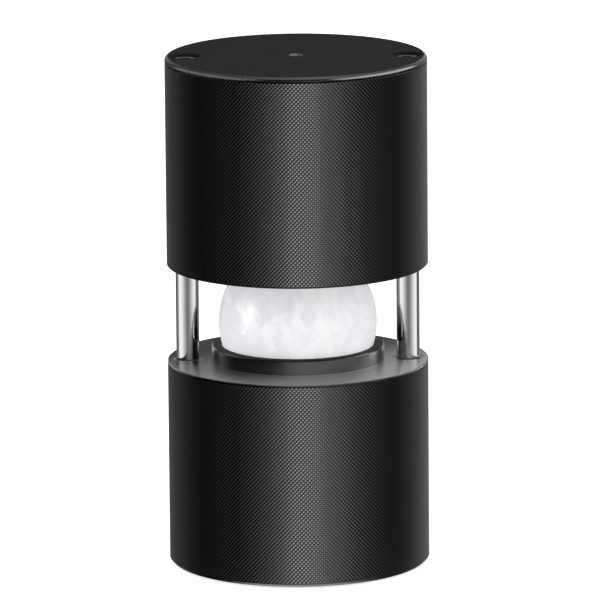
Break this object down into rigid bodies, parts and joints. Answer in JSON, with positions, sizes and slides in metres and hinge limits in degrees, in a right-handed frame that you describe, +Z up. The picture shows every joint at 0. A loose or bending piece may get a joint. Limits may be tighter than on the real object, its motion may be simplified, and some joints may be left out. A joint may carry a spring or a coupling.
{
  "type": "ice ball press",
  "caption": "Knurled black metal press: its upper cylinder slides down steel guide rods onto the lower one and melts an ice block into a ball.",
  "frame": {"origin": "centre of the foot ring's underside, on the press's axis, where the press rests", "axes": "+Z up along the press's axis; +X towards the right guide rod; -Y is the side the picture is taken from"},
  "size_m": [0.09, 0.09, 0.177],
  "materials": {
    "anodised_aluminium": "satin",
    "polished_steel": "polished",
    "screw_steel": "satin",
    "bush_plastic": "satin",
    "foot_silicone": "matte",
    "ice": "gloss"
  },
  "bodies": {
    "base": {"lower_mould": "anodised_aluminium", "guide_bush_left": "bush_plastic", "guide_bush_right": "bush_plastic", "foot_ring": "foot_silicone", "ice_ball": "ice"},
    "press_head": {"upper_mould": "anodised_aluminium", "guide_rod_left": "polished_steel", "guide_rod_right": "polished_steel", "rod_screw_left": "screw_steel", "rod_screw_right": "screw_steel", "rod_washer_left": "screw_steel", "rod_washer_right": "screw_steel"}
  },
  "joints": [
    {"name": "press_slide", "type": "slide", "parent": "base", "child": "press_head", "axis": [0, 0, 1], "range_m": [-0.0335, 0.023]}
  ]
}
